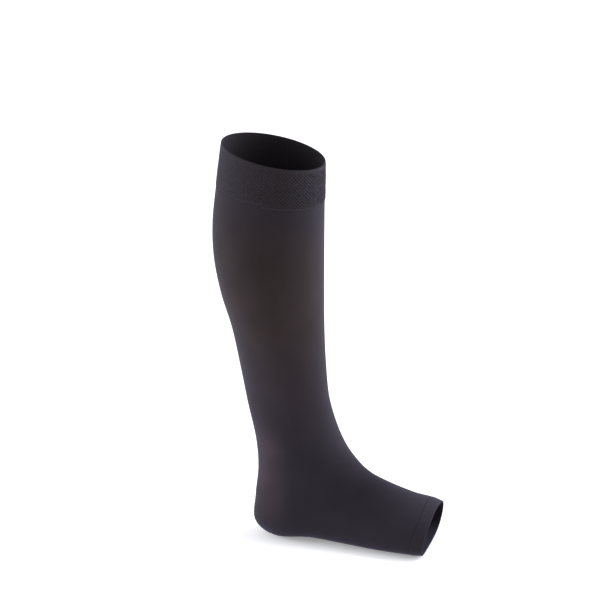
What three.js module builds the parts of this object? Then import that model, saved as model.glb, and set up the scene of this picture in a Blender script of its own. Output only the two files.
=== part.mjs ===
// A knee-high compression stocking with an open toe, for a right leg, in the shape it has when worn.
//
// Millimetres, +Z up, toes towards +X. The outer side of the leg faces -Y and the inner side +Y.
// The origin is the middle of the top band, where the leg holds the stocking up.
//
// The stocking is one knitted tube. Its form is a table of sections that run down the leg, fan
// round the heel and go on along the foot. Each section is an oval between a front and a back
// point. The three pieces that a maker joins are stretches of this one form, so they always meet.

import * as THREE from "three";
import { mergeVertices } from "three/addons/utils/BufferGeometryUtils.js";
import { ParametricGeometry } from "three/addons/geometries/ParametricGeometry.js";

// Cloth. "bite" is how far a tighter piece reaches inside the form that the cloth lies on.

const SEAM_GAP = 0.3;
const LEG_WALL = 1.2;
const BAND_WALL = 2.0;
const BAND_BITE = 0.4;
const HEM_WALL = 1.8;
const HEM_BITE = 0.3;

// Facets: points round each ring, and rings along each piece

const RING_POINTS = 48;
const BAND_RINGS = 5;
const LEG_RINGS = 30;
const HEM_RINGS = 2;

// Form that the cloth lies on. "front" is the shin and then the top of the foot, "back" is the
// calf, the heel and then the sole.
//
//   width     across the section, from the outer side to the inner side
//   widest    where the section is widest: 0 at the back, 1 at the front
//   fullness  2 leaves the back half an ellipse, more makes it squarer, as a sole is
//   lean      how far the front point lies towards the inner side

const SECTIONS = [
  { name: "top edge", frontX: 53.5, frontZ: 12.5, backX: -50.5, backZ: 33,
    width: 102, widest: 0.5, fullness: 2, lean: 0 },
  { name: "band seam", frontX: 53, frontZ: -28, backX: -56.4, backZ: -13,
    width: 101, widest: 0.5, fullness: 2, lean: 0 },
  { name: "upper calf", frontX: 52.6, frontZ: -66, backX: -60.3, backZ: -54,
    width: 107, widest: 0.48, fullness: 2, lean: 0 },
  { name: "calf", frontX: 52.5, frontZ: -98, backX: -59, backZ: -90,
    width: 108, widest: 0.48, fullness: 2, lean: 0 },
  { name: "under calf", frontX: 52.5, frontZ: -132, backX: -52, backZ: -127,
    width: 102, widest: 0.48, fullness: 2, lean: 0 },
  { name: "lower leg", frontX: 53.2, frontZ: -168, backX: -40.6, backZ: -165,
    width: 90, widest: 0.48, fullness: 2, lean: 0 },
  { name: "above ankle", frontX: 55.1, frontZ: -204, backX: -32.4, backZ: -206,
    width: 77, widest: 0.5, fullness: 2, lean: 0 },
  { name: "ankle", frontX: 58.5, frontZ: -240, backX: -24.5, backZ: -248,
    width: 68, widest: 0.52, fullness: 2, lean: 1 },
  { name: "ankle bones", frontX: 66.3, frontZ: -271, backX: -15.6, backZ: -286,
    width: 72, widest: 0.52, fullness: 2.1, lean: 3 },
  { name: "bend", frontX: 77, frontZ: -295.5, backX: -13, backZ: -318,
    width: 73, widest: 0.5, fullness: 2.2, lean: 5 },
  { name: "heel back", frontX: 91, frontZ: -313, backX: -16, backZ: -350,
    width: 70, widest: 0.46, fullness: 2.3, lean: 6 },
  { name: "heel tip", frontX: 103, frontZ: -323, backX: -16.5, backZ: -378,
    width: 68, widest: 0.44, fullness: 2.4, lean: 7 },
  { name: "heel pad", frontX: 113, frontZ: -328.5, backX: 4, backZ: -391.5,
    width: 68, widest: 0.42, fullness: 2.5, lean: 8 },
  { name: "arch", frontX: 124, frontZ: -334, backX: 40, backZ: -389,
    width: 72, widest: 0.4, fullness: 2.6, lean: 9 },
  { name: "instep", frontX: 137, frontZ: -340, backX: 78, backZ: -390.5,
    width: 80, widest: 0.38, fullness: 2.7, lean: 10 },
  { name: "mid foot", frontX: 151, frontZ: -345.5, backX: 116.5, backZ: -392,
    width: 90, widest: 0.36, fullness: 2.8, lean: 10 },
  { name: "hem seam", frontX: 164, frontZ: -348.5, backX: 155.5, backZ: -393,
    width: 95, widest: 0.36, fullness: 2.8, lean: 9 },
  { name: "toe edge", frontX: 175.5, frontZ: -352.5, backX: 168.5, backZ: -392.5,
    width: 94, widest: 0.36, fullness: 2.8, lean: 8 },
];

const KNIT_COLOUR = 0x2b272c;
const BAND_COLOUR = 0x272428;
const HEM_COLOUR = 0x29262b;

// The form

function rowOf(name) {
  return SECTIONS.findIndex((section) => section.name === name);
}

// Two or three columns of the table as one smooth curve, with a value for places between the rows.
function track(...columns) {
  const points = SECTIONS.map((section) => new THREE.Vector3(...columns.map((column) => section[column])));
  const curve = new THREE.CatmullRomCurve3(points, false, "catmullrom", 0.5);
  return (row) => curve.getPoint(row / (SECTIONS.length - 1));
}

const frontTrack = track("frontX", "frontZ", "lean");
const backTrack = track("backX", "backZ", "fullness");
const sideTrack = track("width", "widest");

function signedPower(value, power) {
  return Math.sign(value) * Math.abs(value) ** power;
}

// A point of the form: row counts down the table, and turn is 0 at the front, 0.25 at the inner side.
function formPoint(row, turn) {
  const { x: frontX, y: frontZ, z: lean } = frontTrack(row);
  const { x: backX, y: backZ, z: fullness } = backTrack(row);
  const { x: width, y: widest } = sideTrack(row);
  const angle = 2 * Math.PI * turn;
  const power = Math.cos(angle) > 0 ? 1 : 2 / fullness;
  const forward = signedPower(Math.cos(angle), power);
  const sideways = signedPower(Math.sin(angle), power);
  const share = widest + forward * (forward > 0 ? 1 - widest : widest);
  return new THREE.Vector3(
    backX + (frontX - backX) * share,
    (width / 2) * sideways + lean * share,
    backZ + (frontZ - backZ) * share,
  );
}

const ROW_STEP = 0.02;
const TURN_STEP = 0.004;

// The direction in which the tube runs on at a point: down the leg, then along the foot.
function runDirection(row, turn) {
  const before = formPoint(Math.max(row - ROW_STEP, 0), turn);
  const after = formPoint(Math.min(row + ROW_STEP, SECTIONS.length - 1), turn);
  return after.sub(before).normalize();
}

// The direction away from the hollow.
function outwards(row, turn) {
  const round = formPoint(row, turn + TURN_STEP).sub(formPoint(row, turn - TURN_STEP));
  return runDirection(row, turn).cross(round).normalize();
}

// A stretch of the form as a closed wall. The surface goes down the inner face, under the lower
// edge, up the outer face and back over the upper edge, so it closes on itself like a ring.
function wall({ from, to, rings, thickness, bite = 0, gapAbove = 0 }) {
  const stacks = 2 * (rings + 1);

  function place(turn, profile, target) {
    const stack = Math.round(profile * stacks) % stacks;
    const inner = stack <= rings;
    const ring = inner ? stack : stacks - 1 - stack;
    const row = from + ((to - from) * ring) / rings;
    const height = inner ? -bite : thickness - bite;
    target.copy(formPoint(row, turn)).addScaledVector(outwards(row, turn), height);
    if (ring === 0) {
      target.addScaledVector(runDirection(row, turn), gapAbove);
    }
  }

  const geometry = new ParametricGeometry((turn, profile, target) => place(turn % 1, profile, target),
    RING_POINTS, stacks);
  geometry.deleteAttribute("normal");
  geometry.deleteAttribute("uv");
  const solid = mergeVertices(geometry, 0.001);
  solid.computeVertexNormals();
  return solid;
}

function knit(name, geometry, color, roughness) {
  const material = new THREE.MeshStandardMaterial({ color, roughness, metalness: 0 });
  const mesh = new THREE.Mesh(geometry, material);
  mesh.name = name;
  return mesh;
}

// The pieces

function topBand() {
  const geometry = wall({ from: rowOf("top edge"), to: rowOf("band seam"),
    rings: BAND_RINGS, thickness: BAND_WALL, bite: BAND_BITE });
  return knit("top_band", geometry, BAND_COLOUR, 0.85);
}

function legAndFoot() {
  const geometry = wall({ from: rowOf("band seam"), to: rowOf("hem seam"),
    rings: LEG_RINGS, thickness: LEG_WALL, gapAbove: SEAM_GAP });
  return knit("leg_and_foot", geometry, KNIT_COLOUR, 0.7);
}

function toeHem() {
  const geometry = wall({ from: rowOf("hem seam"), to: rowOf("toe edge"),
    rings: HEM_RINGS, thickness: HEM_WALL, bite: HEM_BITE, gapAbove: SEAM_GAP });
  return knit("toe_hem", geometry, HEM_COLOUR, 0.75);
}

const stocking = new THREE.Group();
stocking.add(topBand(), legAndFoot(), toeHem());

export default stocking;
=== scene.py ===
# %% [markdown]
# # A knee-high compression stocking with an open toe
#
# The stocking is a medical one: a knitted elastic tube that is tightest at the ankle, with an elastic
# band under the knee and a hemmed opening at the toes. It keeps the hollow form that it has on a
# leg. The construction model gives its size and its place, and this file makes the cloth that
# is seen. Everything is in metres, +Z is up, the toes point to +X, and the outer side of the leg
# faces -Y.

import bmesh
import bpy
import numpy as np
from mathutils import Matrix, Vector


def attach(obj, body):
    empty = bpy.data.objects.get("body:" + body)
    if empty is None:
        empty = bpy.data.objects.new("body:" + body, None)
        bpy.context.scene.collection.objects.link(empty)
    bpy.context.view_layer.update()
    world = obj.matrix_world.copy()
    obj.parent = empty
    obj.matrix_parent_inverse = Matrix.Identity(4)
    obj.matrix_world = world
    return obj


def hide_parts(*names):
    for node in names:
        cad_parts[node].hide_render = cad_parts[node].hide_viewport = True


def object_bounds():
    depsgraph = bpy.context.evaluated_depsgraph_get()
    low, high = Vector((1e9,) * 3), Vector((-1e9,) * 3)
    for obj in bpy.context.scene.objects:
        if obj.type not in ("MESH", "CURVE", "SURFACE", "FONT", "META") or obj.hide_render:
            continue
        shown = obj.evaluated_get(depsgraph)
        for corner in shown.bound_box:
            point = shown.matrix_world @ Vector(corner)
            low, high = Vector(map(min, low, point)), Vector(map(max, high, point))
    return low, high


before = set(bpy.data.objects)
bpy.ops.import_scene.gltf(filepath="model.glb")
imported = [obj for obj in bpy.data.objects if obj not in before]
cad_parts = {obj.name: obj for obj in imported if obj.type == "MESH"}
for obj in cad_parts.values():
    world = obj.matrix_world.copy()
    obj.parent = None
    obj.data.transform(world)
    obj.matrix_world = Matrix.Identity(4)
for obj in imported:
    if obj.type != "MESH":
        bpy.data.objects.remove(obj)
cad_bounds = [list(corner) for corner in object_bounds()]
floor_height = cad_bounds[0][2]
MM = 0.001
print("nodes:", sorted(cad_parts), "lowest point:", round(floor_height, 4))

# %% [markdown]
# ## The camera
#
# A long lens from a few metres away keeps the leg's outline almost free of perspective. The
# camera stands on the outer side, a little towards the toes, and looks down at a shallow angle, so
# that the oval of the top edge opens and the foot points slightly towards the viewer. It could be
# turned with angles, but pointing it at a place on the stocking is easier to change.

# %% Place the camera
CAMERA_TURN = np.radians(14)
CAMERA_RISE = np.radians(18.5)
CAMERA_DISTANCE = 4.0
CAMERA_SEES_TO = 50
LENS = 235.2
AIM = Vector((37.7, -33.1, -123.4)) * MM

camera_direction = Vector((
    np.sin(CAMERA_TURN) * np.cos(CAMERA_RISE),
    -np.cos(CAMERA_TURN) * np.cos(CAMERA_RISE),
    np.sin(CAMERA_RISE),
))
camera_data = bpy.data.cameras.new("camera")
camera_data.lens = LENS
camera_data.clip_end = CAMERA_SEES_TO
camera = bpy.data.objects.new("camera", camera_data)
bpy.context.scene.collection.objects.link(camera)
camera.location = AIM + camera_direction * CAMERA_DISTANCE
camera.rotation_euler = camera_direction.to_track_quat("Z", "Y").to_euler()
bpy.context.scene.camera = camera
print("camera at", [round(value, 3) for value in camera.location])

# %% [markdown]
# ## Floor and light
#
# Black cloth shows its form only by what it catches towards its edges. So two large soft panels
# stand level with the leg on its left and right, a weaker pair fills in from the front left and
# from behind on the right, one looks down on the right, and a white room does the rest. No
# panel stands beside the camera, which leaves the middle of the leg dark. The panels are a little
# cool, as daylight lamps are. The floor is a plain pale sheet, wide enough to be the whole
# background, and it glows faintly, which keeps the shadow under the foot soft. An invisible floor
# that only catches shadows would do too, but a real one also lights the sole from below.

# %% Make the floor
WHITE = (1, 1, 1, 1)
FLOOR_SIZE = 20
FLOOR_PAINT = (0.92, 0.92, 0.92, 1)
FLOOR_ROUGHNESS = 0.9
FLOOR_GLOW = 0.22

floor_paint = bpy.data.materials.new("floor_paint")
floor_paint.use_nodes = True
paint = floor_paint.node_tree.nodes["Principled BSDF"]
paint.inputs["Base Color"].default_value = FLOOR_PAINT
paint.inputs["Roughness"].default_value = FLOOR_ROUGHNESS
paint.inputs["Emission Color"].default_value = WHITE
paint.inputs["Emission Strength"].default_value = FLOOR_GLOW

floor_shape = bmesh.new()
bmesh.ops.create_grid(floor_shape, x_segments=1, y_segments=1, size=FLOOR_SIZE / 2)
bmesh.ops.translate(floor_shape, verts=floor_shape.verts, vec=(0, 0, floor_height))
floor_mesh = bpy.data.meshes.new("floor")
floor_shape.to_mesh(floor_mesh)
floor_shape.free()
floor_mesh.materials.append(floor_paint)
floor = bpy.data.objects.new("floor", floor_mesh)
bpy.context.scene.collection.objects.link(floor)
print("floor at", round(floor_height, 4))

# %% Set up the soft panels
LEG_MIDDLE = Vector((0.03, 0, -0.2))
PANEL_DISTANCE = 2.6
PANEL_SIZE = 1.6
PANEL_COLOUR = (0.89, 0.91, 1.0)
ROOM_LIGHT = 0.76
# name, degrees to the right of the camera, degrees up, watts
PANELS = (
    ("panel_left", -90, 10, 52),
    ("panel_front_left", -60, 15, 25),
    ("panel_right", 90, 15, 56),
    ("panel_upper_right", 90, 50, 19),
    ("panel_behind_right", 120, 15, 18),
)


def soft_panel(name, degrees_right, degrees_up, watts):
    """A large square light that faces the leg."""
    turn = CAMERA_TURN + np.radians(degrees_right)
    rise = np.radians(degrees_up)
    away = Vector((np.sin(turn) * np.cos(rise), -np.cos(turn) * np.cos(rise), np.sin(rise)))
    data = bpy.data.lights.new(name, "AREA")
    data.size = PANEL_SIZE
    data.energy = watts
    data.color = PANEL_COLOUR
    panel = bpy.data.objects.new(name, data)
    panel.location = LEG_MIDDLE + away * PANEL_DISTANCE
    panel.rotation_euler = away.to_track_quat("Z", "Y").to_euler()
    bpy.context.scene.collection.objects.link(panel)


for settings in PANELS:
    soft_panel(*settings)

room = bpy.data.worlds.new("white_room")
room.use_nodes = True
room.node_tree.nodes["Background"].inputs["Color"].default_value = WHITE
room.node_tree.nodes["Background"].inputs["Strength"].default_value = ROOM_LIGHT
bpy.context.scene.world = room
bpy.context.scene.view_settings.view_transform = "Standard"

# %% [markdown]
# ## The form
#
# A stocking's fit is a chart of sizes down the leg. Each row here is one oval section between a
# front point (the shin, then the top of the foot) and a back point (the calf, then the heel and the
# sole). The sections lean over as they go round the heel, like the spokes of a fan. Columns:
# front x, front z, back x, back z, width, where it is widest (0 back, 1 front), fullness of the back
# half (2 is an ellipse, more is squarer), and how far the front point leans to the inner side.
# A smooth curve through each column gives every place between the rows. The form could be sculpted
# instead, but in a chart each size can be read, checked and changed alone.

# %% The chart of sections, in millimetres
SECTIONS = {
    "top edge": (53.5, 12.5, -50.5, 33, 102, 0.5, 2, 0),
    "band seam": (53, -28, -56.4, -13, 101, 0.5, 2, 0),
    "upper calf": (52.6, -66, -60.3, -54, 107, 0.48, 2, 0),
    "calf": (52.5, -98, -59, -90, 108, 0.48, 2, 0),
    "under calf": (52.5, -132, -52, -127, 102, 0.48, 2, 0),
    "lower leg": (53.2, -168, -40.6, -165, 90, 0.48, 2, 0),
    "above ankle": (55.1, -204, -32.4, -206, 77, 0.5, 2, 0),
    "ankle": (58.5, -240, -24.5, -248, 68, 0.52, 2, 1),
    "ankle bones": (66.3, -271, -15.6, -286, 72, 0.52, 2.1, 3),
    "bend": (77, -295.5, -13, -318, 73, 0.5, 2.2, 5),
    "heel back": (91, -313, -16, -350, 70, 0.46, 2.3, 6),
    "heel tip": (103, -323, -16.5, -378, 68, 0.44, 2.4, 7),
    "heel pad": (113, -328.5, 4, -391.5, 68, 0.42, 2.5, 8),
    "arch": (124, -334, 40, -389, 72, 0.4, 2.6, 9),
    "instep": (137, -340, 78, -390.5, 80, 0.38, 2.7, 10),
    "mid foot": (151, -345.5, 116.5, -392, 90, 0.36, 2.8, 10),
    "hem seam": (164, -348.5, 155.5, -393, 95, 0.36, 2.8, 9),
    "toe edge": (175.5, -352.5, 168.5, -392.5, 94, 0.36, 2.8, 8),
}
CHART = np.array(list(SECTIONS.values()), float)
ROW_OF = {name: row for row, name in enumerate(SECTIONS)}
LAST_ROW = len(CHART) - 1
print("sections:", len(CHART))

# %% Read the chart anywhere
def chart_at(row):
    """All columns at a place between two rows, on a smooth curve through the rows."""
    row = np.clip(np.asarray(row, float), 0, LAST_ROW)
    below = np.minimum(row.astype(int), LAST_ROW - 1)
    padded = np.vstack([2 * CHART[0] - CHART[1], CHART, 2 * CHART[-1] - CHART[-2]])
    before, start, end, after = (padded[below + step] for step in range(4))
    t = (row - below)[..., None]
    start_slope = (end - before) / 2
    end_slope = (after - start) / 2
    return (
        start * (2 * t**3 - 3 * t**2 + 1)
        + end * (3 * t**2 - 2 * t**3)
        + start_slope * (t**3 - 2 * t**2 + t)
        + end_slope * (t**3 - t**2)
    )


def signed_power(value, power):
    return np.sign(value) * np.abs(value) ** power


def form_point(row, turn):
    """A point of the form. turn is 0 at the front, 0.25 inner side, 0.5 back, 0.75 outer side."""
    front_x, front_z, back_x, back_z, width, widest, fullness, lean = np.moveaxis(chart_at(row), -1, 0)
    angle = 2 * np.pi * np.asarray(turn, float)
    at_front = np.cos(angle) > 0
    power = np.where(at_front, 1, 2 / fullness)
    forward = signed_power(np.cos(angle), power)
    sideways = signed_power(np.sin(angle), power)
    share = widest + forward * np.where(at_front, 1 - widest, widest)
    x = back_x + (front_x - back_x) * share
    y = width / 2 * sideways + lean * share
    z = back_z + (front_z - back_z) * share
    return np.stack([x, y, z], axis=-1) * MM


def unit(vectors):
    return vectors / np.linalg.norm(vectors, axis=-1, keepdims=True)


# how far apart two places lie when a direction is taken between them
ROW_STEP = 0.02
TURN_STEP = 0.004


def run_direction(row, turn):
    """The way the tube runs on: down the leg, then along the foot."""
    return unit(form_point(row + ROW_STEP, turn) - form_point(row - ROW_STEP, turn))


def outwards(row, turn):
    """The way out of the hollow."""
    around = form_point(row, turn + TURN_STEP) - form_point(row, turn - TURN_STEP)
    return unit(np.cross(run_direction(row, turn), around))


# %% Measure along the tube and round it
ROWS_MEASURED = 1701
TURNS_MEASURED = 96
GIRTH_STEPS = 360

rows = np.linspace(0, LAST_ROW, ROWS_MEASURED)
turns = np.linspace(0, 1, TURNS_MEASURED, endpoint=False)
steps = np.linalg.norm(np.diff(form_point(rows[:, None], turns[None, :]), axis=0), axis=-1).mean(axis=1)
LENGTHS = np.concatenate([[0], np.cumsum(steps)])


def length_at(row):
    """Metres of knitting from the top edge, averaged round the tube."""
    return np.interp(row, rows, LENGTHS)


def row_at(length):
    return np.interp(length, LENGTHS, rows)


def girth_at(row):
    ring = form_point(row, np.linspace(0, 1, GIRTH_STEPS + 1))
    return np.linalg.norm(np.diff(ring, axis=0), axis=-1).sum()


for place in ("top edge", "calf", "ankle", "heel tip", "toe edge"):
    print(place, "girth", round(girth_at(ROW_OF[place]) / MM), "mm")
print("length of knitting", round(LENGTHS[-1] / MM), "mm")

# %% [markdown]
# ## Rolling cloth into a wall
#
# Knitting that is cut open lies flat, so each piece starts as a flat grid. Across the grid is once
# round the leg. Along the grid is once through the wall: down the outer face, round the lower rim,
# up the inner face and over the upper rim. Rolling it both ways and merging the edges gives a
# closed wall of even thickness with soft rims, and each corner remembers where it lay in the flat,
# which is what the knit patterns follow. A Solidify modifier could thicken a plain tube instead,
# but its rims would be sharp, and the inner face would copy the outer face's relief.

# %% The stations of a wall
RIM_STEPS = 5


def wall_stations(start, end, thickness, top, step, inner_step):
    """(length, height, 1 on the outer face) of each station, once through the wall, in metres."""
    radius = thickness / 2
    middle = top - radius
    first, last = start + radius, end - radius
    outer = np.linspace(first, last, max(2, round((last - first) / step)))
    inner = np.linspace(last, first, max(2, round((last - first) / inner_step)))
    bend = np.linspace(0, np.pi, RIM_STEPS + 2)[1:-1]
    stations = [(length, top, 1) for length in outer]
    stations += [(last + radius * np.sin(a), middle + radius * np.cos(a), 0) for a in bend]
    stations += [(length, top - thickness, 0) for length in inner]
    stations += [(first - radius * np.sin(a), middle - radius * np.cos(a), 0) for a in bend]
    return np.array(stations)


# %% Roll a flat grid into a wall
SAME_PLACE = 1e-6


def finish_piece(name, shape, material):
    mesh = bpy.data.meshes.new(name)
    shape.to_mesh(mesh)
    shape.free()
    mesh.materials.append(material)
    piece = bpy.data.objects.new(name, mesh)
    bpy.context.scene.collection.objects.link(piece)
    print(name, "faces:", len(mesh.polygons))
    return piece


def roll_wall(name, stations, around, material, relief=None, slide=None, shade=None):
    """A closed wall of cloth. Three functions of turn and length vary it: relief raises the outer
    face, slide moves the cloth along the tube, and shade is kept as "grain", for its material."""
    flat = bmesh.new()
    bmesh.ops.create_grid(flat, x_segments=around, y_segments=len(stations), size=0.5)
    places = np.array([vertex.co for vertex in flat.verts])
    turn = places[:, 0] + 0.5
    station = np.rint((places[:, 1] + 0.5) * len(stations)).astype(int) % len(stations)
    length, height, outer = stations[station].T
    weave = flat.loops.layers.uv.new("weave")
    for face in flat.faces:
        face.smooth = True
        for loop in face.loops:
            index = loop.vert.index
            loop[weave].uv = (turn[index], length[index])
    if relief is not None:
        height = height + relief(turn % 1, length) * outer
    if slide is not None:
        length = length + slide(turn % 1, length)
    row = row_at(length)
    shaped = form_point(row, turn % 1) + outwards(row, turn % 1) * height[:, None]
    for vertex, place in zip(flat.verts, shaped):
        vertex.co = place
    if shade is not None:
        layer = flat.verts.layers.float.new("grain")
        values = shade(turn % 1, stations[station][:, 0])
        for vertex, value in zip(flat.verts, values):
            vertex[layer] = value
    bmesh.ops.remove_doubles(flat, verts=flat.verts, dist=SAME_PLACE)
    if flat.calc_volume(signed=True) < 0:
        bmesh.ops.reverse_faces(flat, faces=flat.faces)
    return finish_piece(name, flat, material)


# %% [markdown]
# ## Knit materials
#
# The yarn is black microfibre. Seen straight on it is almost black. At a shallow angle its fine
# fibres catch light, and the edges of the leg turn a soft violet grey: the sheen layer and the
# tinted gloss do that. The knit itself is drawn in each piece's own flat coordinates, so wales run
# down the leg and courses run round it wherever the tube bends. A picture of knitting could be laid
# on instead, but waves made by formula stay sharp at any distance and have no joins.

# %% Small helpers for node trees
class Nodes:
    """Adds nodes to a material and links them, so that a pattern reads like a formula."""

    def __init__(self, material):
        self.tree = material.node_tree
        self.shader = self.tree.nodes["Principled BSDF"]

    def add(self, kind, **settings):
        node = self.tree.nodes.new(kind)
        for key, value in settings.items():
            setattr(node, key, value)
        return node

    def plug(self, value, socket):
        if isinstance(value, bpy.types.NodeSocket):
            self.tree.links.new(value, socket)
        else:
            socket.default_value = value

    def math(self, operation, *values):
        node = self.add("ShaderNodeMath", operation=operation)
        for value, socket in zip(values, node.inputs):
            self.plug(value, socket)
        return node.outputs[0]

    def weave(self):
        """turn and length, the flat coordinates of the piece."""
        source = self.add("ShaderNodeUVMap", uv_map="weave")
        split = self.add("ShaderNodeSeparateXYZ")
        self.plug(source.outputs["UV"], split.inputs[0])
        return split.outputs["X"], split.outputs["Y"]

    def noise(self, scale, detail):
        place = self.add("ShaderNodeTexCoord")
        node = self.add("ShaderNodeTexNoise")
        self.plug(place.outputs["Object"], node.inputs["Vector"])
        node.inputs["Scale"].default_value = scale
        node.inputs["Detail"].default_value = detail
        return node.outputs["Fac"]

    def blend(self, share, first, second):
        node = self.add("ShaderNodeMix", data_type="RGBA")
        self.plug(share, node.inputs["Factor"])
        self.plug((*first, 1), node.inputs["A"])
        self.plug((*second, 1), node.inputs["B"])
        return node.outputs["Result"]

    def bump(self, height, depth, strength):
        node = self.add("ShaderNodeBump")
        self.plug(height, node.inputs["Height"])
        node.inputs["Distance"].default_value = depth
        node.inputs["Strength"].default_value = strength
        self.plug(node.outputs["Normal"], self.shader.inputs["Normal"])


# %% What all the knits share
RELIEF_STRENGTH = 0.6
FUZZ_SCALE = 1400
ROUGHNESS = 0.8
ROUGHNESS_SPREAD = 0.16
GLOSS = 0.16
GLOSS_TINT = (0.92, 0.84, 1.0, 1)
SHEEN_TINT = (0.74, 0.69, 1.0, 1)
SHEEN = 0.088
SHEEN_ROUGHNESS = 0.55


def finish_knit(nodes, colour, height, depth):
    """Colour, a fine relief, a dull gloss that varies with the fuzz, and the sheen of the fibres."""
    nodes.plug(colour, nodes.shader.inputs["Base Color"])
    nodes.bump(height, depth, RELIEF_STRENGTH)
    fuzz = nodes.noise(FUZZ_SCALE, 2)
    smoothest = ROUGHNESS - ROUGHNESS_SPREAD / 2
    roughness = nodes.math("MULTIPLY_ADD", fuzz, ROUGHNESS_SPREAD, smoothest)
    nodes.plug(roughness, nodes.shader.inputs["Roughness"])
    nodes.shader.inputs["Specular IOR Level"].default_value = GLOSS
    nodes.shader.inputs["Specular Tint"].default_value = GLOSS_TINT
    nodes.shader.inputs["Sheen Weight"].default_value = SHEEN
    nodes.shader.inputs["Sheen Roughness"].default_value = SHEEN_ROUGHNESS
    nodes.shader.inputs["Sheen Tint"].default_value = SHEEN_TINT


# %% The plain knit: columns of V-shaped loops
V_SLOPE = 0.5
LOOP_SHARE = 0.3


def loops_height(nodes, turn, length, wales, course):
    """Columns of V-shaped loops. wales go round the leg, course is the height of one loop."""
    across = nodes.math("FRACT", nodes.math("MULTIPLY", turn, wales))
    from_middle = nodes.math("ABSOLUTE", nodes.math("MULTIPLY_ADD", across, 2, -1))
    slope = nodes.math("MULTIPLY_ADD", from_middle, V_SLOPE, nodes.math("DIVIDE", length, course))
    loops = nodes.math("SINE", nodes.math("MULTIPLY", slope, 2 * np.pi))
    column = nodes.math("SUBTRACT", 1, nodes.math("POWER", from_middle, 2))
    return nodes.math("MULTIPLY_ADD", loops, LOOP_SHARE, column)


# %% [markdown]
# ## The colours of the knits
#
# One yarn looks different where it is stretched: over the calf the loops open, and the knit is
# lighter and warmer. Towards the foot it is denser and cooler. A colour ramp down the leg's length
# gives that. At the back of the ankle and the heel a lighter soft round patch is blended in, three
# times down the heel, to make one long patch: it is a painted highlight, and partly the lighter knit
# that the heel stretches thin. Dye never takes quite evenly, and faint noise keeps so large a plain
# surface from looking like plastic. Colours could be painted on the corners instead, but here each
# of them is changed in one line.

# %% The shade of the yarn down the leg
# metres from the top edge, then the linear colour there
SHADES = (
    (0.000, (0.0092, 0.0062, 0.0072)),
    (0.045, (0.0092, 0.0062, 0.0070)),
    (0.110, (0.0126, 0.0074, 0.0049)),
    (0.170, (0.0146, 0.0088, 0.0062)),
    (0.230, (0.0136, 0.0094, 0.0098)),
    (0.290, (0.0114, 0.0082, 0.0104)),
    (0.350, (0.0090, 0.0069, 0.0097)),
    (0.520, (0.0093, 0.0076, 0.0106)),
)


def shade_down_leg(nodes, length):
    """Where the knit is stretched wide it is lighter and warmer, and where it is dense, cooler."""
    ramp = nodes.add("ShaderNodeValToRGB")
    nodes.plug(nodes.math("DIVIDE", length, SHADES[-1][0]), ramp.inputs["Fac"])
    stops = ramp.color_ramp.elements
    ramp.color_ramp.interpolation = "EASE"
    while len(stops) < len(SHADES):
        stops.new(0.5)  # each gets its own place below
    for stop, (place, colour) in zip(stops, SHADES):
        stop.position = place / SHADES[-1][0]
        stop.color = (*colour, 1)
    return ramp.outputs["Color"]


# %% Uneven dye, and the painted highlight on the heel
PATCH_SCALE = 26
SPECK_SCALE = 700


def mottled(nodes, colour, patchy, specky):
    """Soft patches, and specks the size of a yarn. The mean level stays 1."""
    patches = nodes.noise(PATCH_SCALE, 2)
    specks = nodes.noise(SPECK_SCALE, 2)
    level = nodes.math("MULTIPLY_ADD", patches, patchy, 1 - (patchy + specky) / 2)
    level = nodes.math("MULTIPLY_ADD", specks, specky, level)
    mix = nodes.add("ShaderNodeMix", data_type="RGBA", blend_type="MULTIPLY")
    mix.inputs["Factor"].default_value = 1
    nodes.plug(colour, mix.inputs["A"])
    nodes.plug(level, mix.inputs["B"])
    return mix.outputs["Result"]


def painted_highlight_at(nodes, colour, middle, reach, tint):
    """A painted highlight round a place where the knit is also stretched thin: tint in the middle, nothing
    at the reach.
    """
    place = nodes.add("ShaderNodeTexCoord").outputs["Object"]
    away = nodes.add("ShaderNodeVectorMath", operation="DISTANCE")
    nodes.plug(place, away.inputs[0])
    nodes.plug(middle, away.inputs[1])
    share = nodes.add("ShaderNodeMapRange", interpolation_type="SMOOTHSTEP")
    nodes.plug(away.outputs["Value"], share.inputs["Value"])
    for name, value in (("From Min", 0), ("From Max", reach), ("To Min", 1), ("To Max", 0)):
        share.inputs[name].default_value = value
    mix = nodes.add("ShaderNodeMix", data_type="RGBA")
    nodes.plug(share.outputs["Result"], mix.inputs["Factor"])
    nodes.plug(colour, mix.inputs["A"])
    nodes.plug((*tint, 1), mix.inputs["B"])
    return mix.outputs["Result"]


def new_knit(name):
    material = bpy.data.materials.new(name)
    material.use_nodes = True
    return material, Nodes(material)


# %% The leg's jersey
LEG_WALES = 420
LEG_COURSE = 0.6 * MM
LEG_LOOP_DEPTH = 0.1 * MM
HEEL_X, HEEL_Y = 0.001, -0.030
HEEL_HEIGHTS = (-0.290, -0.322, -0.354)
HEEL_REACH = 0.034
# the colour of the painted highlight on the back of the heel
HEEL_HIGHLIGHT = (0.0240, 0.0156, 0.0190)

leg_jersey, nodes = new_knit("leg_jersey")
turn, length = nodes.weave()
yarn_and_heel_highlight = shade_down_leg(nodes, length)
# painted highlight: a lighter patch on the back of the heel, blended in three times down the heel
for height in HEEL_HEIGHTS:
    yarn_and_heel_highlight = painted_highlight_at(nodes, yarn_and_heel_highlight, (HEEL_X, HEEL_Y, height), HEEL_REACH, HEEL_HIGHLIGHT)
knit_colour = mottled(nodes, yarn_and_heel_highlight, patchy=0.8, specky=0.16)
finish_knit(nodes, knit_colour, loops_height(nodes, turn, length, LEG_WALES, LEG_COURSE), LEG_LOOP_DEPTH)
print("leg:", LEG_WALES, "wales, courses of", round(LEG_COURSE / MM, 2), "mm")

# %% The band's elastic
BAND_WALES = 420
BAND_COURSE = 0.8 * MM
BAND_LOOP_DEPTH = 0.12 * MM
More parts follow.
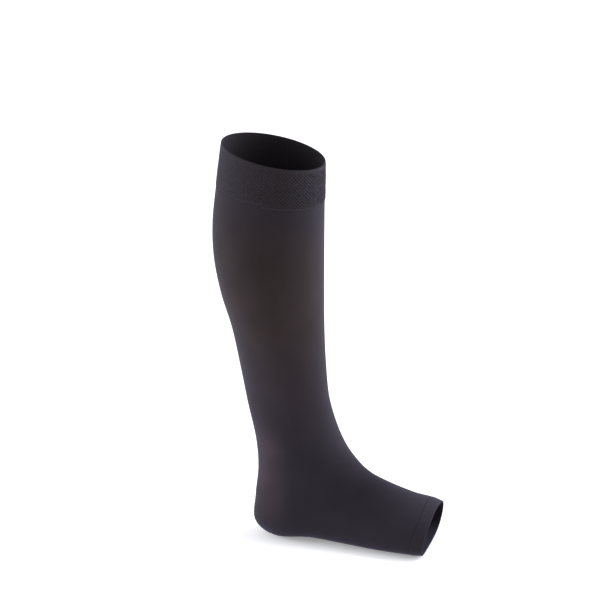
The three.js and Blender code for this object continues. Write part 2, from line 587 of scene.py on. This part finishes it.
# the yarn with painted shade in the pits, and with a painted highlight on the grains
PIT_SHADED_YARN = (0.0074, 0.0055, 0.0055)
GRAIN_LIT_YARN = (0.0112, 0.0083, 0.0083)

band_birdseye, nodes = new_knit("band_birdseye")
turn, length = nodes.weave()
relief = nodes.add("ShaderNodeAttribute", attribute_name="grain").outputs["Fac"]
# the grain heights blend painted shade into the pits and a painted highlight onto the grains
knit_colour = mottled(nodes, nodes.blend(relief, PIT_SHADED_YARN, GRAIN_LIT_YARN), patchy=0.5, specky=0.2)
finish_knit(nodes, knit_colour, loops_height(nodes, turn, length, BAND_WALES, BAND_COURSE), BAND_LOOP_DEPTH)
print("band:", BAND_WALES, "wales, courses of", round(BAND_COURSE / MM, 2), "mm")

# %% The hem's jersey
HEM_WALES = 340
HEM_COURSE = 0.6 * MM
HEM_LOOP_DEPTH = 0.12 * MM
HEM_YARN = (0.0102, 0.0082, 0.0114, 1)

hem_jersey, nodes = new_knit("hem_jersey")
turn, length = nodes.weave()
knit_colour = mottled(nodes, HEM_YARN, patchy=0.4, specky=0.2)
finish_knit(nodes, knit_colour, loops_height(nodes, turn, length, HEM_WALES, HEM_COURSE), HEM_LOOP_DEPTH)
print("hem:", HEM_WALES, "wales, courses of", round(HEM_COURSE / MM, 2), "mm")

# %% The seam's thread
THREAD_DARK = (0.016, 0.012, 0.015)
THREAD_LIGHT = (0.034, 0.028, 0.034)
TWIST_SCALE = 2500
TWIST_DEPTH = 0.05 * MM

seam_thread, nodes = new_knit("seam_thread")
twist = nodes.noise(TWIST_SCALE, 1)
finish_knit(nodes, nodes.blend(twist, THREAD_DARK, THREAD_LIGHT), twist, TWIST_DEPTH)
print("materials:", leg_jersey.name, band_birdseye.name, hem_jersey.name, seam_thread.name)

# %% [markdown]
# ## The line of the band's seam
#
# The band is sewn on last, and its two ends don't meet quite level: the seam stands a little higher
# on one side of the upright join than on the other, and it wavers by less than a millimetre all
# round. Each edge could be pushed about by hand, but then the two would part somewhere. Here both
# the band and the leg follow one line, so that they always meet.

# %% Work out the seam's line
JOIN_TURN = 0.759
JOIN_HALF_WIDTH = 0.7 * MM
HIGH_SIDE = 1.6 * MM
HIGH_SIDE_REACH = 13 * MM
LOW_SIDE = 1.4 * MM
LOW_SIDE_REACH = 11 * MM
# height in metres, waves round the band, and where the first wave starts
WAVERS = ((0.45 * MM, 2, 0.55), (0.25 * MM, 5, 0.1))
BAND_GIRTH = girth_at(ROW_OF["band seam"])
band_end = length_at(ROW_OF["band seam"])
toe_seam = length_at(ROW_OF["hem seam"])
toe_end = LENGTHS[-1]


def fade_in(value, start, end):
    t = np.clip((value - start) / (end - start), 0, 1)
    return t * t * (3 - 2 * t)


def past_join(turn):
    """Metres round the band from the join, towards the front."""
    return ((turn - JOIN_TURN + 0.5) % 1 - 0.5) * BAND_GIRTH


def seam_drift(turn):
    """How far below its even line the seam lies."""
    distance = past_join(turn)
    front = (1 + np.tanh(distance / JOIN_HALF_WIDTH)) / 2
    step = front * LOW_SIDE * np.exp(-np.abs(distance) / LOW_SIDE_REACH)
    step -= (1 - front) * HIGH_SIDE * np.exp(-np.abs(distance) / HIGH_SIDE_REACH)
    return step + sum(height * np.sin(2 * np.pi * (waves * turn + start)) for height, waves, start in WAVERS)


drift = seam_drift(np.linspace(0, 1, GIRTH_STEPS)) / MM
print("seam drift", round(drift.min(), 1), "to", round(drift.max(), 1), "mm")

# %% [markdown]
# ## The leg and the foot
#
# One tube, knitted round from the band to the hem, with the heel knitted in. It is a thin wall that
# lies smooth and tight, so it has no folds, only a form that is exact and even. Below the band it
# follows the seam's line, and that evens out over the first few centimetres. The foot could be a
# tube of its own, as on a cut and sewn sock, but round knitting has no seam at the ankle, so one
# grid runs through.

# %% Make the leg and the foot
LEG_WALL = 1.0 * MM
LEG_TOP = 1.2 * MM
EDGE_ROOM = 0.1 * MM  # from a piece's edge to the seam's line
DRIFT_FADES_OVER = 30 * MM


def leg_slide(turn, length):
    return seam_drift(turn) * (1 - fade_in(length, band_end, band_end + DRIFT_FADES_OVER))


leg = roll_wall(
    "leg_and_foot_cloth",
    wall_stations(band_end + EDGE_ROOM, toe_seam - EDGE_ROOM, LEG_WALL, LEG_TOP,
                  step=2.4 * MM, inner_step=6 * MM),
    around=240,
    material=leg_jersey,
    slide=leg_slide,
)

# %% [markdown]
# ## The top band
#
# A separate strip of elastic in a bird's-eye knit: small grains stand where two crossing sets of
# slanting rows meet, with pits between them. One set is the stronger, and no two grains are quite
# as high as each other. The relief is deep enough to see, so it is real height, and each corner
# also keeps how high its grain is, which paints shade into the pits and a highlight onto the
# grains. Setting out every grain as a ball would take far more faces and look less like one cloth.
# The strip is closed by one upright join on the outer side. Its plain welt has a finely serrated
# free edge, a little darker than the rest.

# %% The grains of the bird's-eye knit
GRAINS_AROUND = 84
STRONG_ROWS = 0.57
WEAK_ROWS = 0.43
RIDGE_SKEW = 0.5
GRAIN_SEED = 4
LOWEST_GRAIN, HIGHEST_GRAIN = 0.45, 1.3
UNEVEN_ROWS = 40
grain_pitch = BAND_GIRTH / GRAINS_AROUND
grain_dice = np.random.default_rng(GRAIN_SEED)
UNEVEN = grain_dice.uniform(LOWEST_GRAIN, HIGHEST_GRAIN, (2 * GRAINS_AROUND, UNEVEN_ROWS))


def ridge(place):
    """A wave between -1 and 1, once for each whole number, steeper on one side than on the other."""
    phase = 2 * np.pi * place
    return np.cos(phase + RIDGE_SKEW * np.cos(phase))


def grain(turn, length):
    """About 1 on a grain and 0 in a pit. Two sets of slanting rows cross, one of them the stronger,
    and the grain where they cross is a little higher or lower than its neighbours."""
    falling = turn * GRAINS_AROUND - length / grain_pitch
    rising = turn * GRAINS_AROUND + length / grain_pitch
    one, other = np.rint(falling).astype(int), np.rint(rising).astype(int)
    uneven = UNEVEN[(one + other) % (2 * GRAINS_AROUND), (other - one) % UNEVEN_ROWS]
    return (uneven * (STRONG_ROWS * ridge(falling) + WEAK_ROWS * ridge(rising)) + 1) / 2


print("grain pitch", round(grain_pitch / MM, 2), "mm")

# %% Where the grains are
PLAIN_WELT = 3.0 * MM
WELT_FADE = 1.5 * MM
SEAM_FADE_FROM = 2.2 * MM
SEAM_FADE_TO = 1.2 * MM


def knitted(length):
    """1 where the bird's-eye knit is, 0 on the plain welt and at the seam."""
    begins = fade_in(length, PLAIN_WELT, PLAIN_WELT + WELT_FADE)
    return begins * (1 - fade_in(length, band_end - SEAM_FADE_FROM, band_end - SEAM_FADE_TO))


def beside_join(turn):
    """0 on the upright join, 1 beside it."""
    return 1 - np.exp(-((past_join(turn) / JOIN_HALF_WIDTH) ** 2))


def band_pattern(turn, length):
    """The grains, from about -0.5 to 0.5, and 0 on plain knit."""
    return (grain(turn, length) - 0.5) * knitted(length) * beside_join(turn)


# %% Make the top band
BAND_WALL = 1.6 * MM
BAND_TOP = 1.5 * MM
GRAIN_HEIGHT = 0.44 * MM
FLATTENED = 0.5
JOIN_DIP = 0.3 * MM
WELT_EDGE = 1.6 * MM
WELT_EDGE_DARKER = 0.4
WELT_TEETH = 250
TOOTH = 0.22 * MM
DRIFT_POWER = 1.5


def band_shade(turn, length):
    """Painted shade in the pits and a painted highlight on the grains, and darker along the welt's free
    edge.
    """
    return 0.5 + band_pattern(turn, length) - WELT_EDGE_DARKER * (1 - fade_in(length, 0, WELT_EDGE))


def band_relief(turn, length):
    """The grains stand highest at the shin and flatten where the calf stretches the band."""
    height = GRAIN_HEIGHT * (1 + FLATTENED * np.cos(2 * np.pi * turn))
    return 2 * height * band_pattern(turn, length) - JOIN_DIP * (1 - beside_join(turn))


def band_slide(turn, length):
    """The lower edge follows the seam's line, and the upper edge has its fine teeth."""
    teeth = TOOTH * (1 - np.abs(np.sin(np.pi * turn * WELT_TEETH)))
    drift = seam_drift(turn) * (length / band_end) ** DRIFT_POWER
    return drift + teeth * (1 - fade_in(length, 0, WELT_EDGE))


band = roll_wall(
    "top_band_cloth",
    wall_stations(0, band_end - EDGE_ROOM, BAND_WALL, BAND_TOP, step=0.52 * MM, inner_step=4 * MM),
    around=700,
    material=band_birdseye,
    relief=band_relief,
    slide=band_slide,
    shade=band_shade,
)

# %% [markdown]
# ## The toe hem
#
# The tube's end is folded back and knitted down, so the hem is two layers, a little thicker than
# the foot. Its free edge has the tiny scallops of a turned knit. They are small, so the edge of the
# rolled grid is moved in and out a little, and no scallop is a piece of its own.

# %% Make the toe hem
HEM_WALL = 1.5 * MM
HEM_TOP = 1.45 * MM
HEM_SCALLOPS = 110
SCALLOP = 0.3 * MM
SCALLOPED = 2.5 * MM


def hem_slide(turn, length):
    """Scallops that only draw the edge in, so that none reaches past the tube's end."""
    turned = fade_in(length, toe_end - SCALLOPED, toe_end)
    scallop = SCALLOP * np.abs(np.sin(np.pi * turn * HEM_SCALLOPS))
    return scallop * turned - SCALLOP * turned


hem = roll_wall(
    "toe_hem_cloth",
    wall_stations(toe_seam + EDGE_ROOM, toe_end, HEM_WALL, HEM_TOP, step=0.7 * MM, inner_step=1.5 * MM),
    around=440,
    material=hem_jersey,
    slide=hem_slide,
)

# %% [markdown]
# ## Stitches
#
# The band is linked to the leg by a row of fine stitches, about one for every second loop. They lie
# almost along the seam, and their thread is lighter than the knit, so the seam shows as a fine
# light line. Each end of such a row is locked by a bartack, a tiny dense bar of thread. A stitch is
# a small round form, drawn long and thin, so one ball with few faces is enough for each. A bent
# tube would be truer close up, but at this size the two look alike.

# %% Set stitches along a line
def set_stitches(name, places, material):
    """Each place is (row, turn, height, half length, half width, slant in radians) in metres."""
    shape = bmesh.new()
    for row, turn, height, half_length, half_width, slant in places:
        out = outwards(row, turn)
        middle = form_point(row, turn) + out * height
        down = run_direction(row, turn)
        side = np.cross(out, down)
        long_way = np.cos(slant) * down + np.sin(slant) * side
        cross_way = np.cross(out, long_way)
        ball = bmesh.ops.create_uvsphere(shape, u_segments=8, v_segments=5, radius=1)["verts"]
        for vertex in ball:
            across, up, along = vertex.co
            vertex.co = (
                middle
                + cross_way * across * half_width
                + out * up * half_width
                + long_way * along * half_length
            )
    for face in shape.faces:
        face.smooth = True
    bmesh.ops.recalc_face_normals(shape, faces=shape.faces)
    return finish_piece(name, shape, material)


# %% Sew the band to the leg
STITCHES_AROUND = 200
STITCH_HEIGHT = 1.15 * MM
STITCH_HALF_LENGTH = 1.0 * MM
STITCH_HALF_WIDTH = 0.42 * MM
STITCH_SLANT = 1.15
stitch = (STITCH_HEIGHT, STITCH_HALF_LENGTH, STITCH_HALF_WIDTH, STITCH_SLANT)
stitch_turns = (np.arange(STITCHES_AROUND) + 0.5) / STITCHES_AROUND
seam_places = [
    (float(row_at(band_end + seam_drift(turn))), turn, *stitch)
    for turn in stitch_turns
]
seam_stitches = set_stitches("band_seam_stitches", seam_places, seam_thread)

# %% Lock the ends with bartacks
TACK_PITCH = 0.42 * MM
TACK_THREAD = 0.26 * MM
ACROSS = np.pi / 2
# turn, metres from the top edge, height, rows of thread, half the width of a row
BARTACKS = (
    (JOIN_TURN + 0.0005, band_end - 3.4 * MM, BAND_TOP, 8, 0.55 * MM),
    (JOIN_TURN - 0.0235, band_end - 2.6 * MM, BAND_TOP, 4, 0.5 * MM),
    (0.728, toe_seam + 1.0 * MM, HEM_TOP, 5, 0.5 * MM),
)


def bartack(turn, length, height, threads, half_width):
    """Threads that lie round the leg, one below the other, with their middle at length."""
    offsets = (np.arange(threads) - (threads - 1) / 2) * TACK_PITCH
    return [
        (float(row_at(length + offset)), turn, height, half_width, TACK_THREAD, ACROSS)
        for offset in offsets
    ]


tack_places = [place for settings in BARTACKS for place in bartack(*settings)]
tacks = set_stitches("bartacks", tack_places, seam_thread)

# %% [markdown]
# ## What stands for what
#
# Each cloth piece hides the plain solid that it lies on.

for piece, node, slot in (
    (leg, "leg_and_foot", "leg_knit"),
    (band, "top_band", "band_knit"),
    (hem, "toe_hem", "hem_knit"),
):
    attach(piece, "root")
    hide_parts(node)

for piece in (seam_stitches, tacks):
    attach(piece, "root")
